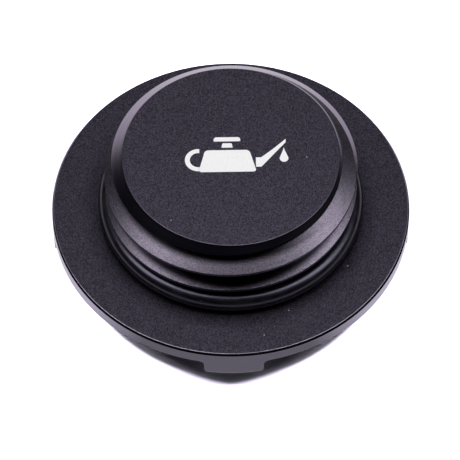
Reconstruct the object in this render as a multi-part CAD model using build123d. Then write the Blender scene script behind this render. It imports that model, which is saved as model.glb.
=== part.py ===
from build123d import *
import os
from math import ceil, cos, pi, sin, sqrt, tan

os.makedirs("parts", exist_ok=True)

# Screw-in oil filler cap, lying on its grip with the threaded stub upwards.
# Millimetres. The origin is on the axis at the grip's outer face, and +Z is the way that the thread points.

# Flange and grip
flange_diameter = 60.0
flange_thickness = 2.5
grip_height = 3.0
rim_chamfer_in = 0.27  # upper edge of the flange, in from the rim
rim_chamfer_down = 0.41  # the same, down from the sealing face
soft_edge = 0.2  # rounding left on the turned edges
lobe_count = 4
lobe_width = 9.8  # across a lobe where it meets the rim
lobe_root_fillet = 1.0  # between a lobe's side and the underside of the flange
lobe_edge_radius = 0.9  # along the outer edge of a lobe's side

# Threaded stub
thread_diameter = 42.0
thread_pitch = 4.5
flank_angle = pi / 6  # half of the 60 degree thread form
stub_length = 14.2  # from the flange's sealing face to the end face
end_lead = 0.46  # how far the 45 degree end chamfer reaches in past the thread's root
groove_front_height = 7.66  # middle of the thread groove above the sealing face, on the -Y side

# Sealing ring and the neck that it sits on
ring_section = 3.5
ring_slack = 0.26  # radial, between the ring and the neck
ring_seat_gap = 0.02  # under the ring
ring_headroom = 0.08  # over the ring
neck_relief = 0.02  # radial depth of the neck below the thread's root

# Sizes that follow from the ones above
flange_radius = flange_diameter / 2
sealing_face = grip_height + flange_thickness
thread_radius = thread_diameter / 2
thread_height = thread_pitch / (2 * tan(flank_angle))  # of the sharp form
thread_depth = thread_height * 2 / 3
crest_width = thread_pitch / 8
root_radius = thread_radius - thread_depth
end_face = sealing_face + stub_length
end_radius = root_radius - end_lead
end_chamfer = thread_radius - end_radius
neck_radius = root_radius - neck_relief
neck_height = ring_seat_gap + ring_section + ring_headroom
ring_radius = neck_radius + ring_slack + ring_section / 2
ring_middle = sealing_face + ring_seat_gap + ring_section / 2
overcut = 1.0  # how far a cutter passes the surface that it opens
front = -90  # degrees, the -Y side


def flange_blank():
    """The turned disc that the grip is milled from."""
    outline = Polyline(
        (0, 0),
        (flange_radius, 0),
        (flange_radius, sealing_face - rim_chamfer_down),
        (flange_radius - rim_chamfer_in, sealing_face),
        (0, sealing_face),
        close=True,
    )
    section = make_face(outline)
    levels = section.vertices().group_by(Axis.Y)
    turned_corners = [levels[0].sort_by(Axis.X)[-1], levels[-1].sort_by(Axis.X)[-1]]
    return revolve(Plane.XZ * fillet(turned_corners, soft_edge), Axis.Z)


def scallop_cutter():
    """A cutter that clears one finger scallop, with the form of a lobe's side on its edge.

    Its axis stands so far out that a lobe's two sides run parallel where they reach the rim.
    """
    half_angle = pi / lobe_count
    along_lobe = sqrt(flange_radius**2 - (lobe_width / 2) ** 2)
    axis_distance = along_lobe / cos(half_angle)
    radius = axis_distance * sin(half_angle) - lobe_width / 2
    root_start = grip_height - lobe_root_fillet
    profile = [
        Line((0, -overcut), (0, grip_height)),
        Line((0, grip_height), (radius - lobe_root_fillet, grip_height)),
        RadiusArc(
            (radius - lobe_root_fillet, grip_height), (radius, root_start), lobe_root_fillet
        ),
        Line((radius, root_start), (radius, lobe_edge_radius)),
        RadiusArc((radius, lobe_edge_radius), (radius + lobe_edge_radius, 0), -lobe_edge_radius),
        Line((radius + lobe_edge_radius, 0), (radius + lobe_edge_radius, -overcut)),
        Line((radius + lobe_edge_radius, -overcut), (0, -overcut)),
    ]
    cutter = revolve(Plane.XZ * make_face(profile), Axis.Z)
    return Pos(axis_distance, 0, 0) * cutter


def grip_and_flange():
    """The flange with its lobed grip, one lobe on -Y."""
    step = 360 / lobe_count
    first = front + step / 2
    cutters = [Rot(0, 0, first + step * n) * scallop_cutter() for n in range(lobe_count)]
    return flange_blank() - cutters


def turned_stub():
    """The stub as it leaves the lathe, with the neck at its foot and the chamfer at its end."""
    outline = Polyline(
        (0, sealing_face),
        (neck_radius, sealing_face),
        (neck_radius, sealing_face + neck_height),
        (thread_radius, sealing_face + neck_height),
        (thread_radius, end_face - end_chamfer),
        (end_radius, end_face),
        (0, end_face),
        close=True,
    )
    section = make_face(outline)
    end_corner = section.vertices().group_by(Axis.Y)[-1].sort_by(Axis.X)[-1]
    return revolve(Plane.XZ * fillet(end_corner, soft_edge), Axis.Z)


def thread_groove():
    """The helical groove between two turns of the thread, run past both ends of the stub."""
    mouth_width = thread_pitch - crest_width / 2
    mouth_radius = thread_radius + crest_width / 4 / tan(flank_angle)
    root_width = mouth_width - 2 * (mouth_radius - root_radius) * tan(flank_angle)
    section = Polyline(
        (root_radius, -root_width / 2),
        (mouth_radius, -mouth_width / 2),
        (mouth_radius, mouth_width / 2),
        (root_radius, root_width / 2),
        close=True,
    )
    turns_below = ceil(groove_front_height / thread_pitch) + 1
    turns_above = ceil((stub_length - groove_front_height) / thread_pitch) + 1
    turn = Helix(thread_pitch, thread_pitch, thread_radius)
    path = Wire([Pos(0, 0, n * thread_pitch) * turn for n in range(turns_below + turns_above)])
    groove = sweep(Plane.XZ * make_face(section), path, is_frenet=True)
    start = sealing_face + groove_front_height - turns_below * thread_pitch
    return Pos(0, 0, start) * Rot(0, 0, front) * groove


cap_body = grip_and_flange() + (turned_stub() - thread_groove())
o_ring = Pos(0, 0, ring_middle) * Torus(ring_radius, ring_section / 2)

for name, piece in {"cap_body": cap_body, "o_ring": o_ring}.items():
    export_step(piece, f"parts/{name}.step")
    print(name, round(piece.volume, 1), piece.bounding_box().size)
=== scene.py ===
import math

import bpy
from mathutils import Matrix, Vector


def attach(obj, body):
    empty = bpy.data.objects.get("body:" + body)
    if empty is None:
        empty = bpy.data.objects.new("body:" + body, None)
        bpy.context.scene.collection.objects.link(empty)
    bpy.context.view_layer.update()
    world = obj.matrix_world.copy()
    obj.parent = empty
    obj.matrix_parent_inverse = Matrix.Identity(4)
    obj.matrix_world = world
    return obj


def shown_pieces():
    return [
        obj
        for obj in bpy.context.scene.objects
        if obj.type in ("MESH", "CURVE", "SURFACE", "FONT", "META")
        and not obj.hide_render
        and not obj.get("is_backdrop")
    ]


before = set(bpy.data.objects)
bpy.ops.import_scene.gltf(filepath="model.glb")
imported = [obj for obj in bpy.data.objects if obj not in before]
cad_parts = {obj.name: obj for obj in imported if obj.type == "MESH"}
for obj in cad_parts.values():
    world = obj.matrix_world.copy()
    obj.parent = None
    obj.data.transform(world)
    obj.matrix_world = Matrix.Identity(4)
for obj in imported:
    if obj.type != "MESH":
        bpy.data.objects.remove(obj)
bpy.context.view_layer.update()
scene = bpy.context.scene
scene.view_settings.view_transform = "Standard"
print("cap loaded, nodes:", sorted(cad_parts))


# camera: long lens, looking down on the threaded end
cameraSetup = {
    "aim": (0, 0, 0.00507),   # on the thread's axis, just under the flange's upper face
    "distance": 0.6498,
    "elevation": 55.423,      # degrees above the floor
    "turn": 1.13,             # degrees clockwise seen from above
    "roll": -0.093,
    "slideRight": -0.000126,
    "slideUp": -0.003976,
    "lens": 302.77,
    "sensor": 36,
    "clip": (0.01, 20),
}


def makeCamera(setup):
    tilt = math.radians(setup["elevation"])
    forward = Vector((0, math.cos(tilt), -math.sin(tilt)))
    right = Vector((1, 0, 0))
    up = right.cross(forward)
    place = right * setup["slideRight"] + up * setup["slideUp"] - forward * setup["distance"]
    roll = Matrix.Rotation(math.radians(-setup["roll"]), 3, "Z")
    turn = Matrix.Rotation(math.radians(-setup["turn"]), 3, "Z")
    axes = turn @ (Matrix((right, up, -forward)).transposed() @ roll)
    data = bpy.data.cameras.new("camera")
    data.lens = setup["lens"]
    data.sensor_width = setup["sensor"]
    data.clip_start, data.clip_end = setup["clip"]
    cam = bpy.data.objects.new("camera", data)
    scene.collection.objects.link(cam)
    cam.matrix_world = Matrix.Translation(turn @ place + Vector(setup["aim"])) @ axes.to_4x4()
    scene.camera = cam
    return cam


camera = makeCamera(cameraSetup)
print("camera set, lens", camera.data.lens)


# node helpers
def newMaterial(name):
    mat = bpy.data.materials.new(name)
    mat.use_nodes = True
    return mat, mat.node_tree, mat.node_tree.nodes["Principled BSDF"]


def feed(tree, node, inputs):    # an input takes a plain value, or a link from another node
    for key, value in inputs.items():
        if isinstance(value, bpy.types.NodeSocket):
            tree.links.new(value, node.inputs[key])
        else:
            node.inputs[key].default_value = value
    return node


def addNode(tree, kind, inputs=None, **settings):
    node = tree.nodes.new(kind)
    for key, value in settings.items():
        setattr(node, key, value)
    return feed(tree, node, inputs or {})


def maths(tree, operation, *values, clamp=False):
    inputs = dict(enumerate(values))
    node = addNode(tree, "ShaderNodeMath", inputs, operation=operation, use_clamp=clamp)
    return node.outputs[0]


def vectorMaths(tree, operation, *values):
    inputs = dict(enumerate(values))
    return addNode(tree, "ShaderNodeVectorMath", inputs, operation=operation).outputs


def above(tree, value, limit):    # a mask, 1 where this holds and else 0
    return maths(tree, "GREATER_THAN", value, limit)


def below(tree, value, limit):
    return maths(tree, "LESS_THAN", value, limit)


def both(tree, a, b):
    return maths(tree, "MULTIPLY", a, b)


def within(tree, value, low, high):
    return both(tree, above(tree, value, low), below(tree, value, high))


def outside(tree, mask):
    return maths(tree, "SUBTRACT", 1.0, mask)


def ramp(tree, value, start, end, low=0.0, high=1.0, curve="LINEAR"):
    node = addNode(
        tree,
        "ShaderNodeMapRange",
        {"Value": value, "From Min": start, "From Max": end, "To Min": low, "To Max": high},
        interpolation_type=curve,
    )
    return node.outputs["Result"]


def blend(tree, factor, a, b):
    node = addNode(tree, "ShaderNodeMix", {"Factor": factor, "A": a, "B": b}, data_type="FLOAT")
    return node.outputs["Result"]


def blendColour(tree, factor, a, b):    # 6, 7 and 2 are the node's colour sockets
    node = addNode(tree, "ShaderNodeMix", {0: factor, 6: a, 7: b}, data_type="RGBA")
    return node.outputs[2]


def noise(tree, vector, scale, detail):
    inputs = {"Vector": vector, "Scale": scale, "Detail": detail}
    return addNode(tree, "ShaderNodeTexNoise", inputs).outputs["Fac"]


def cells(tree, vector, scale):
    return addNode(tree, "ShaderNodeTexVoronoi", {"Vector": vector, "Scale": scale}).outputs


def split(tree, vector):
    return addNode(tree, "ShaderNodeSeparateXYZ", {"Vector": vector}).outputs


def bump(tree, height, depth, **inputs):
    inputs.update({"Height": height, "Distance": depth, "Strength": 1.0})
    return addNode(tree, "ShaderNodeBump", inputs).outputs["Normal"]


def newGroup(name, inputs, outputs):    # takes a vector and some numbers, gives numbers
    tree = bpy.data.node_groups.new(name, "ShaderNodeTree")
    tree.interface.new_socket(name="Vector", in_out="INPUT", socket_type="NodeSocketVector")
    for label in inputs:
        tree.interface.new_socket(name=label, in_out="INPUT", socket_type="NodeSocketFloat")
    for label in outputs:
        tree.interface.new_socket(name=label, in_out="OUTPUT", socket_type="NodeSocketFloat")
    given = tree.nodes.new("NodeGroupInput").outputs
    return tree, given, tree.nodes.new("NodeGroupOutput")


def useGroup(tree, group, **inputs):
    return addNode(tree, "ShaderNodeGroup", inputs, node_tree=group).outputs


# shared effects
grainSetup = {"detail": 1.5, "pitScale": 1.6, "pitShare": 0.35, "noiseShare": 0.3}
streakSetup = {"detail": 2.0, "driftScale": 160.0, "driftDetail": 1.0, "driftShare": 0.3}
dustSetup = {"spot": 0.12}    # a speck's reach, as a share of its cell


def makeBlastGrain(setup):
    tree, given, out = newGroup("blastGrain", ["Scale"], ["Height", "Fleck"])
    coarse = noise(tree, given["Vector"], given["Scale"], setup["detail"])
    pitScale = maths(tree, "MULTIPLY", given["Scale"], setup["pitScale"])
    pits = cells(tree, given["Vector"], pitScale)
    height = blend(tree, setup["pitShare"], coarse, pits["Distance"])
    fleck = blend(tree, setup["noiseShare"], pits["Color"], coarse)
    feed(tree, out, {"Height": height, "Fleck": fleck})
    return tree


def makeTurnedStreaks(setup):    # faint rings left by the lathe, round the Z axis
    tree, given, out = newGroup("turnedStreaks", ["Scale"], ["Streak", "Radius"])
    place = split(tree, given["Vector"])
    ySquare = maths(tree, "MULTIPLY", place["Y"], place["Y"])
    squares = maths(tree, "MULTIPLY_ADD", place["X"], place["X"], ySquare)
    radius = maths(tree, "SQRT", squares)
    ring = addNode(tree, "ShaderNodeCombineXYZ", {"X": radius, "Y": place["Z"]}).outputs["Vector"]
    lines = noise(tree, ring, given["Scale"], setup["detail"])
    drift = noise(tree, given["Vector"], setup["driftScale"], setup["driftDetail"])
    streak = blend(tree, setup["driftShare"], lines, drift)
    feed(tree, out, {"Streak": streak, "Radius": radius})
    return tree


def makeDustSpecks(setup):
    tree, given, out = newGroup("dustSpecks", ["Scale", "Share"], ["Mask"])
    speck = cells(tree, given["Vector"], given["Scale"])
    pick = addNode(tree, "ShaderNodeSeparateColor", {"Color": speck["Color"]}).outputs["Red"]
    chosen = below(tree, pick, given["Share"])
    spot = below(tree, speck["Distance"], setup["spot"])
    feed(tree, out, {"Mask": both(tree, chosen, spot)})
    return tree


blastGrain = makeBlastGrain(grainSetup)
turnedStreaks = makeTurnedStreaks(streakSetup)
dustSpecks = makeDustSpecks(dustSetup)


# black anodised aluminium: flats bead blasted, thread flanks lightly blasted, the rest turned
# a lean is the upright part of the surface's normal, 1 on a level face and 0 on a wall
anodisedLook = {
    "blastDark": (0.0025, 0.0022, 0.003, 1),
    "blastLight": (0.110, 0.099, 0.140, 1),
    "flankDark": (0.100, 0.088, 0.114, 1),
    "flankLight": (0.300, 0.265, 0.341, 1),
    "rootShadeColour": (0.016, 0.014, 0.019, 1),    # painted shade: deep in the thread, and on flanks facing the flange
    "turnedDark": (0.294, 0.269, 0.345, 1),
    "turnedLight": (0.351, 0.321, 0.412, 1),
    "chamferDark": (0.100, 0.086, 0.118, 1),
    "chamferLight": (0.330, 0.291, 0.380, 1),
    "endEdgeColour": (0.080, 0.071, 0.095, 1),
    "rimEdgeColour": (0.270, 0.245, 0.310, 1),
    "footEdgeColour": (0.520, 0.490, 0.550, 1),
    # black for the painted shade on the flange and round the seal
    "flangeShadeBlack": (0, 0, 0, 1),
    "dustColour": (0.42, 0.41, 0.43, 1),
    "edgeTint": (0.97, 0.92, 1.0, 1),    # what a grazing look shows of the anodising
    "flatLean": 0.95,                    # past this: end face, flange and grip
    "turnedLean": 0.79,                  # under this: rim, chamfers, crests and neck
    "chamferLean": 0.5,
    "endEdgeLean": (0.74, 0.985),
    "rimEdgeLean": (0.58, 0.97),
    "rimChamferLean": (0.5, 0.58),
    "sealShadeReach": (0.0216, 0.0254),       # radii between which the painted shade round the seal clears
    "flangeShadeLevel": (0.44, 0.85),          # how much of the finish shows through the painted shade there, and on the rest of the flange and grip
    "blastRoughness": 0.32,
    "flankRoughness": 0.28,
    "turnedRoughness": 0.16,
    "grainRoughness": 0.12,              # added by the grain, and below by the rings
    "streakRoughness": 0.10,
    "rootShadeMiddle": (0.01945, 0.0190),     # radius halfway out of the painted root shade, front and back
    "rootShade": 0.00137,                # how much further out the painted shade reaches on the lower turn, at the front
    "rootTurn": 2.0,                     # radians from the front at which the back begins
    "rootSpread": 0.0006,
    "openTurn": (0.25, 1.1),             # radians from the front where the groove runs out
    "openHeight": 0.0154,                # the turn that runs out is above this, at the front
    "pitch": 0.0045,
    "lipTurn": (2.22, 0.38, 0.64),       # painted shade on the end chamfer's lip: middle, reach and fade
    "lipRadius": (0.01818, 0.01845),
    "rimEdge": 0.0293,                   # radius past which the flange's rounded edges are worn
    "rimTilt": 0.37,                     # how far the flange's chamfer rolls over upwards
    "endEdge": 0.0193,                   # height past which the end face's edge is worn
    "footEdge": (0.00001, 0.0003),       # heights of the rounding round the grip's outer face
    "grainScale": 3800,
    "grainDepth": 0.00005,
    "streakScale": 5200,
    "dustScale": 1200,
    "dustShare": 0.012,
}


# painted shade in the thread: how far out of the root it reaches, where it lifts as the groove
# runs out, and its patch on the end chamfer's lip
def threadShadeMasks(tree, look, place, radius):
    turn = maths(tree, "ARCTAN2", place["X"], maths(tree, "MULTIPLY", place["Y"], -1.0))
    unwound = maths(tree, "MULTIPLY_ADD", turn, -look["pitch"] / math.tau, place["Z"])
    upper = above(tree, unwound, look["openHeight"])
    away = maths(tree, "DIVIDE", maths(tree, "ABSOLUTE", turn), look["rootTurn"], clamp=True)
    middle = blend(tree, away, *look["rootShadeMiddle"])
    shade = blend(tree, away, look["rootShade"], 0.0)
    shade = maths(tree, "MULTIPLY", outside(tree, upper), shade)
    past = maths(tree, "SUBTRACT", radius, maths(tree, "ADD", middle, shade))
    pastRootShade = ramp(tree, past, -look["rootSpread"], look["rootSpread"], curve="SMOOTHSTEP")
    opened = both(tree, ramp(tree, turn, *look["openTurn"], curve="SMOOTHSTEP"), upper)
    lipMiddle, lipReach, lipFade = look["lipTurn"]
    aside = maths(tree, "ABSOLUTE", maths(tree, "SUBTRACT", turn, lipMiddle))
    lipShade = ramp(tree, aside, lipReach, lipFade, 1.0, 0.0, curve="SMOOTHSTEP")
    return pastRootShade, opened, both(tree, lipShade, within(tree, radius, *look["lipRadius"]))


def makeAnodised(look):
    mat, tree, shader = newMaterial("blackAnodised")
    where = tree.nodes.new("ShaderNodeTexCoord").outputs
    spot = where["Object"]
    grain = useGroup(tree, blastGrain, Vector=spot, Scale=look["grainScale"])
    streaks = useGroup(tree, turnedStreaks, Vector=spot, Scale=look["streakScale"])
    dust = useGroup(
        tree, dustSpecks, Vector=spot, Scale=look["dustScale"], Share=look["dustShare"]
    )["Mask"]
    fleck, streak, radius = grain["Fleck"], streaks["Streak"], streaks["Radius"]
    place = split(tree, spot)
    pastRootShade, opened, lipShade = threadShadeMasks(tree, look, place, radius)

    # which finish, by how far the surface leans
    facing = split(tree, where["Normal"])["Z"]
    lean = maths(tree, "ABSOLUTE", facing)
    flat = above(tree, lean, look["flatLean"])
    turned = below(tree, lean, look["turnedLean"])
    chamfered = above(tree, lean, look["chamferLean"])
    top = above(tree, place["Z"], look["endEdge"])
    rim = above(tree, radius, look["rimEdge"])
    endEdge = both(tree, within(tree, lean, *look["endEdgeLean"]), top)
    rimEdge = both(tree, within(tree, lean, *look["rimEdgeLean"]), rim)
    rimChamfer = both(tree, within(tree, facing, *look["rimChamferLean"]), rim)
    footEdge = both(tree, within(tree, place["Z"], *look["footEdge"]), turned)

    # colour of each finish, with painted shade in the thread and round the seal
    blasted = blendColour(tree, fleck, look["blastDark"], look["blastLight"])
    # painted shade: the flange and grip darker than the end face, darkest against the seal
    flangeShade = ramp(tree, radius, *look["sealShadeReach"], *look["flangeShadeLevel"])
    endFace = below(tree, radius, look["sealShadeReach"][0])
    clear = maths(tree, "MAXIMUM", flangeShade, endFace)
    blasted = blendColour(tree, clear, look["flangeShadeBlack"], blasted)
    flank = blendColour(tree, fleck, look["flankDark"], look["flankLight"])
    # painted shade: flanks go dark towards the root and where they face the flange, except where
    # the groove runs out
    lit = both(tree, maths(tree, "MAXIMUM", pastRootShade, opened), above(tree, facing, 0.0))
    flank = blendColour(tree, lit, look["rootShadeColour"], flank)
    smooth = blendColour(tree, streak, look["turnedDark"], look["turnedLight"])
    # painted shade on the turned faces deep in the thread
    smooth = blendColour(tree, pastRootShade, look["rootShadeColour"], smooth)
    chamfer = blendColour(tree, streak, look["chamferDark"], look["chamferLight"])
    # painted shade on the end chamfer's lip
    chamfer = blendColour(tree, lipShade, chamfer, look["rootShadeColour"])
    smooth = blendColour(tree, chamfered, smooth, chamfer)
    finish = blendColour(tree, turned, blendColour(tree, flat, flank, blasted), smooth)
    finish = blendColour(tree, endEdge, finish, look["endEdgeColour"])
    finish = blendColour(tree, rimEdge, finish, look["rimEdgeColour"])
    finish = blendColour(tree, footEdge, finish, look["footEdgeColour"])
    finish = blendColour(tree, dust, finish, look["dustColour"])

    # roughness and relief
    grained = blend(tree, flat, look["flankRoughness"], look["blastRoughness"])
    grained = maths(tree, "MULTIPLY_ADD", grain["Height"], look["grainRoughness"], grained)
    ringed = maths(
        tree, "MULTIPLY_ADD", streak, look["streakRoughness"], look["turnedRoughness"]
    )
    relief = maths(tree, "MULTIPLY", grain["Height"], outside(tree, turned))
    lift = maths(tree, "MULTIPLY", rimChamfer, look["rimTilt"])
    lift = addNode(tree, "ShaderNodeCombineXYZ", {"Z": lift}).outputs["Vector"]
    rolled = vectorMaths(tree, "ADD", where["Normal"], lift)["Vector"]
    rolled = vectorMaths(tree, "NORMALIZE", rolled)["Vector"]
    feed(tree, shader, {
        "Base Color": finish,
        "Metallic": outside(tree, dust),
        "Roughness": blend(tree, turned, grained, ringed),
        "Normal": bump(tree, relief, look["grainDepth"], Normal=rolled),
        "Specular Tint": look["edgeTint"],
    })
    return mat


# nitrile ring: smooth moulded rubber with a faint parting line and a little dust
rubberLook = {
    "colour": (0.0015, 0.0014, 0.0019, 1),
    "bloomColour": (0.006, 0.0056, 0.007, 1),
    "dustColour": (0.16, 0.155, 0.165, 1),
    "tint": (0.78, 0.73, 1.0, 1),
    "roughness": 0.29,
    "bloomRoughness": 0.10,      # added by the bloom, and below by the parting line
    "partingRoughness": 0.15,
    "ior": 1.72,
    "bloomScale": 420,
    "bloomDetail": 3.0,
    "bloom": (0.45, 0.8),        # where the bloom sets in and is full
    "skinScale": 2600,
    "skinDetail": 2.0,
    "skinDepth": 0.000006,
    "partingHeight": 0.00727,
    "partingWidth": 0.00006,
    "dustScale": 1500,
    "dustShare": 0.012,
}


def makeRubber(look):
    mat, tree, shader = newMaterial("sealRubber")
    spot = tree.nodes.new("ShaderNodeTexCoord").outputs["Object"]
    bloom = noise(tree, spot, look["bloomScale"], look["bloomDetail"])
    bloom = ramp(tree, bloom, *look["bloom"])
    skin = noise(tree, spot, look["skinScale"], look["skinDetail"])
    dust = useGroup(
        tree, dustSpecks, Vector=spot, Scale=look["dustScale"], Share=look["dustShare"]
    )["Mask"]
    height = split(tree, spot)["Z"]
    parting = maths(tree, "COMPARE", height, look["partingHeight"], look["partingWidth"])
    colour = blendColour(tree, bloom, look["colour"], look["bloomColour"])
    rough = maths(tree, "MULTIPLY_ADD", bloom, look["bloomRoughness"], look["roughness"])
    rough = maths(tree, "MULTIPLY_ADD", parting, look["partingRoughness"], rough)
    relief = maths(tree, "ADD", skin, parting)
    feed(tree, shader, {
        "Base Color": blendColour(tree, dust, colour, look["dustColour"]),
        "Roughness": rough,
        "Normal": bump(tree, relief, look["skinDepth"]),
        "IOR": look["ior"],
        "Specular Tint": look["tint"],
    })
    return mat


def dress(obj, mat):
    obj.data.materials.clear()
    obj.data.materials.append(mat)


dress(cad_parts["cap_body"], makeAnodised(anodisedLook))
dress(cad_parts["o_ring"], makeRubber(rubberLook))
print("cap dressed")


# oil can mark, laser bleached on the end face; sizes in millimetres from the mark's middle
markSetup = {
    "middle": (0.0, 0.3),
    "face": 19.7,
    "proud": 0.02,
    "sunk": 0.01,
    "cornerSteps": 5,
    "body": {"centre": (-0.6, -1.4), "size": (9.6, 4.4), "topShare": 0.76, "corner": 0.55},
    "neck": {"centre": (-0.6, 1.75), "size": (1.9, 0.9), "topShare": 0.8, "corner": 0.15},
    "knob": {"centre": (-0.6, 3.0), "size": (4.6, 0.85), "topShare": 0.9, "corner": 0.3},
    "spout": {"centre": (4.55, -1.7), "size": (0.9, 1.9), "topShare": 1, "corner": 0},
    "spoutRuns": (((2.0, 2.05), 0.62), ((2.1, 2.25), 0.55)),    # how far, and how it narrows
    "drip": {
        "centre": (8.75, -1.0),
        "radius": 0.72,
        "points": 32,
        "tip": 0.95,
        # the tip is drawn up in three goes: from what share of the radius, how far, how narrow
        "draws": ((0.45, 0.35, 0.78), (0.85, 0.55, 0.55), (1.35, 0.6, 0.3)),
    },
    "handle": {
        "centre": (-5.35, -1.15),
        "radius": 2.25,
        "points": 64,
        "innerShare": 0.64,
        "cut": -5.2,
    },
}
mm = 0.001


def selectPoints(obj, wanted):
    mesh = obj.data
    for face in mesh.polygons:
        face.select = False
    for edge in mesh.edges:
        edge.select = False
    for point in mesh.vertices:
        point.select = wanted(point.co)
    bpy.ops.object.mode_set(mode="EDIT")
    bpy.ops.mesh.select_mode(type="VERT")
    bpy.ops.object.mode_set(mode="OBJECT")


def cutPlate(setup, steps):    # a flat plate, narrowed at its top, with rounded corners
    x, y = setup["centre"]
    bpy.ops.object.select_all(action="DESELECT")
    bpy.ops.mesh.primitive_plane_add(size=1, location=(x, y, 0))
    plate = bpy.context.object
    plate.scale = (*setup["size"], 1)
    bpy.ops.object.transform_apply(location=True, scale=True)
    selectPoints(plate, lambda co: co.y > y)
    bpy.ops.object.mode_set(mode="EDIT")
    bpy.ops.transform.resize(value=(setup["topShare"], 1, 1), center_override=(x, y, 0))
    if setup["corner"]:
        bpy.ops.mesh.select_all(action="SELECT")
        bpy.ops.mesh.bevel(offset=setup["corner"], segments=steps, affect="VERTICES")
    bpy.ops.object.mode_set(mode="OBJECT")
    return plate


def cutDisc(setup):
    bpy.ops.object.select_all(action="DESELECT")
    bpy.ops.mesh.primitive_circle_add(
        vertices=setup["points"],
        radius=setup["radius"],
        fill_type="NGON",
        location=(*setup["centre"], 0),
    )
    bpy.ops.object.transform_apply(location=True)
    return bpy.context.object


def drawSpout(plate, setup):    # on from the plate's right end
    selectPoints(plate, lambda co: co.x > setup["spout"]["centre"][0])
    bpy.ops.object.mode_set(mode="EDIT")
    for (dx, dy), share in setup["spoutRuns"]:
        bpy.ops.mesh.extrude_edges_move(TRANSFORM_OT_translate={"value": (dx, dy, 0)})
        bpy.ops.transform.resize(value=(1, share, 1))
    bpy.ops.object.mode_set(mode="OBJECT")


def makeDrip(setup):
    x, y = setup["centre"]
    drop = cutDisc(setup)
    for share, lift, narrow in setup["draws"]:
        selectPoints(drop, lambda co: co.y > y + setup["radius"] * share)
        bpy.ops.object.mode_set(mode="EDIT")
        bpy.ops.transform.translate(value=(0, setup["tip"] * lift, 0))
        bpy.ops.transform.resize(value=(narrow, 1, 1), center_override=(x, y, 0))
        bpy.ops.object.mode_set(mode="OBJECT")
    return drop


def makeHandle(setup):    # a ring, cut off where it meets the body
    loop = cutDisc(setup)
    bpy.ops.object.mode_set(mode="EDIT")
    bpy.ops.mesh.select_all(action="SELECT")
    bpy.ops.mesh.inset(thickness=setup["radius"] * (1 - setup["innerShare"]))
    bpy.ops.mesh.delete(type="FACE")
    bpy.ops.mesh.select_all(action="SELECT")
    cutPlace = (setup["cut"], setup["centre"][1], 0)
    bpy.ops.mesh.bisect(plane_co=cutPlace, plane_no=(1, 0, 0), clear_outer=True)
    bpy.ops.object.mode_set(mode="OBJECT")
    return loop


def makeMark(setup):
    names = ("body", "neck", "knob", "spout")
    plates = [cutPlate(setup[name], setup["cornerSteps"]) for name in names]
    drawSpout(plates[-1], setup)
    plates += [makeDrip(setup["drip"]), makeHandle(setup["handle"])]
    bpy.ops.object.select_all(action="DESELECT")
    for plate in plates:
        plate.select_set(True)
    mark = plates[0]
    bpy.context.view_layer.objects.active = mark
    bpy.ops.object.join()
    mark.name = mark.data.name = "oilCanMark"
    thickness = setup["proud"] + setup["sunk"]
    bpy.ops.object.mode_set(mode="EDIT")
    bpy.ops.mesh.select_all(action="SELECT")
    bpy.ops.mesh.normals_make_consistent(inside=False)
    bpy.ops.mesh.extrude_region_move(TRANSFORM_OT_translate={"value": (0, 0, thickness)})
    bpy.ops.mesh.select_all(action="SELECT")
    bpy.ops.mesh.normals_make_consistent(inside=False)
    bpy.ops.object.mode_set(mode="OBJECT")
    x, y = setup["middle"]
    mark.location = (x * mm, y * mm, (setup["face"] - setup["sunk"]) * mm)
    mark.scale = (mm, mm, mm)
    bpy.ops.object.transform_apply(location=True, scale=True)
    return mark


markLook = {
    "pale": (0.94, 0.935, 0.945, 1),
    "burnt": (0.68, 0.67, 0.69, 1),
    "burn": (0.7, 1.0),    # flecks between which the white turns to the burnt grey
    "roughness": 0.55,
    "grainScale": 3400,
    "grainDepth": 0.00003,
}


def makeMarkWhite(look):
    mat, tree, shader = newMaterial("laserWhite")
    spot = tree.nodes.new("ShaderNodeTexCoord").outputs["Object"]
    grain = useGroup(tree, blastGrain, Vector=spot, Scale=look["grainScale"])
    burn = ramp(tree, grain["Fleck"], *look["burn"])
    feed(tree, shader, {
        "Base Color": blendColour(tree, burn, look["pale"], look["burnt"]),
        "Roughness": look["roughness"],
        "Normal": bump(tree, grain["Height"], look["grainDepth"]),
    })
    return mat


mark = makeMark(markSetup)
dress(mark, makeMarkWhite(markLook))
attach(mark, "root")
print("mark made,", len(mark.data.polygons), "faces")


# floor and light: soft boxes over the cap, and suns from behind that whiten the floor alone
# azimuths run from the front towards the right, in degrees; lengths in metres
stageSetup = {
    "floorSize": 40.0,
    "floorDrop": 0.00002,
    "floorColour": (0.93, 0.93, 0.93, 1),
    "mirrorLevel": (0.335, 1.0),    # what the finish mirrors, in the cap's shadow and away from it
    "shadowSpot": (-0.0012, -0.033, 0),
    "shadowReach": (0.017, 0.029),
    "mirroredPoolMiddle": (0, 0.05, 0),
    "mirroredPoolReach": (0.09, 0.28),     # between these the painted pool of light that the finish mirrors fades to its end level
    "mirroredPoolEnd": 0.12,
    "room": (0.006, 0.0072, 0.0098, 1),
    "lampDistance": 1.0,
    "boxes": {
        "boxRight": {"azimuth": 91, "elevation": 62, "size": (0.36, 0.86), "radiance": 4.1},
        "boxLeft": {"azimuth": -89, "elevation": 67, "size": (0.36, 0.77), "radiance": 4.5},
        "boxTop": {"azimuth": 180, "elevation": 80, "size": (0.42, 0.36), "radiance": 4.6},
        "boxBack": {"azimuth": 180, "elevation": 20, "size": (0.42, 0.36), "radiance": 3.2},
    },
    "sunColour": (0.862, 0.805, 1.0),    # tints the edge of the shadow
    "suns": {    # the low ones soften the sides of the shadow
        "sunRight": {"azimuth": 116, "elevation": 38.5, "spread": 8, "strength": 7.7},
        "sunLeft": {"azimuth": -118.5, "elevation": 38.5, "spread": 8, "strength": 7.7},
        "lowRight": {"azimuth": 111, "elevation": 25, "spread": 14, "strength": 1.3},
        "lowLeft": {"azimuth": -113, "elevation": 25, "spread": 14, "strength": 1.3},
    },
}


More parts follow.
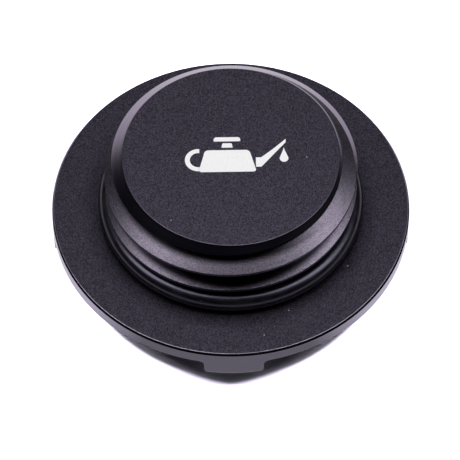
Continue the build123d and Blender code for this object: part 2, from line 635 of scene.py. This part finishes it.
def makeFloor(setup):
    bpy.ops.object.select_all(action="DESELECT")
    bpy.ops.mesh.primitive_plane_add(size=setup["floorSize"], location=(0, 0, -setup["floorDrop"]))
    floor = bpy.context.object
    floor.name = "floor"
    mat, tree, shader = newMaterial("paperFloor")
    tree.nodes.remove(shader)
    paper = addNode(tree, "ShaderNodeBsdfDiffuse", {"Color": setup["floorColour"]})
    spot = tree.nodes.new("ShaderNodeTexCoord").outputs["Object"]
    # what the finish mirrors of the floor: a painted shadow round shadowSpot, and a painted pool
    # of light fading away from the middle
    fromShadow = vectorMaths(tree, "DISTANCE", spot, setup["shadowSpot"])["Value"]
    level = ramp(tree, fromShadow, *setup["shadowReach"], *setup["mirrorLevel"])
    fromMiddle = vectorMaths(tree, "DISTANCE", spot, setup["mirroredPoolMiddle"])["Value"]
    fade = ramp(tree, fromMiddle, *setup["mirroredPoolReach"], 1.0, setup["mirroredPoolEnd"])
    strength = maths(tree, "MULTIPLY", level, fade)
    mirrored = addNode(tree, "ShaderNodeEmission", {"Strength": strength})
    ray = tree.nodes.new("ShaderNodeLightPath").outputs["Is Glossy Ray"]
    mixed = addNode(
        tree, "ShaderNodeMixShader", {0: ray, 1: paper.outputs[0], 2: mirrored.outputs[0]}
    )
    feed(tree, tree.nodes["Material Output"], {"Surface": mixed.outputs[0]})
    dress(floor, mat)
    floor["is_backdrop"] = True
    return floor


def hangLamp(data, setup, receivers):
    turn, rise = math.radians(setup["azimuth"]), math.radians(setup["elevation"])
    flat = math.cos(rise)
    away = Vector((math.sin(turn) * flat, -math.cos(turn) * flat, math.sin(rise)))
    obj = bpy.data.objects.new(data.name, data)
    scene.collection.objects.link(obj)
    obj.location = away * stageSetup["lampDistance"]
    obj.rotation_euler = (-away).to_track_quat("-Z", "Y").to_euler()
    obj.light_linking.receiver_collection = receivers


def makeBox(name, setup, receivers):
    data = bpy.data.lights.new(name, "AREA")
    data.shape = "RECTANGLE"
    data.size, data.size_y = setup["size"]
    data.energy = setup["radiance"] * math.pi * setup["size"][0] * setup["size"][1]
    hangLamp(data, setup, receivers)


def makeSun(name, setup, receivers):
    data = bpy.data.lights.new(name, "SUN")
    data.color = stageSetup["sunColour"]
    data.angle = math.radians(setup["spread"])
    data.energy = setup["strength"]
    hangLamp(data, setup, receivers)


def makeWorld(setup):
    world = bpy.data.worlds.new("studio")
    scene.world = world
    world.use_nodes = True
    back = world.node_tree.nodes["Background"]
    back.inputs["Color"].default_value = setup["room"]


def litGroup(name, objs):
    group = bpy.data.collections.new(name)
    for obj in objs:
        group.objects.link(obj)
    return group


floor = makeFloor(stageSetup)
makeWorld(stageSetup)
capLit = litGroup("capLit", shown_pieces())
floorLit = litGroup("floorLit", [floor])
for name, setup in stageSetup["boxes"].items():
    makeBox(name, setup, capLit)
for name, setup in stageSetup["suns"].items():
    makeSun(name, setup, floorLit)
print("stage set,", len(stageSetup["boxes"]) + len(stageSetup["suns"]), "lamps")
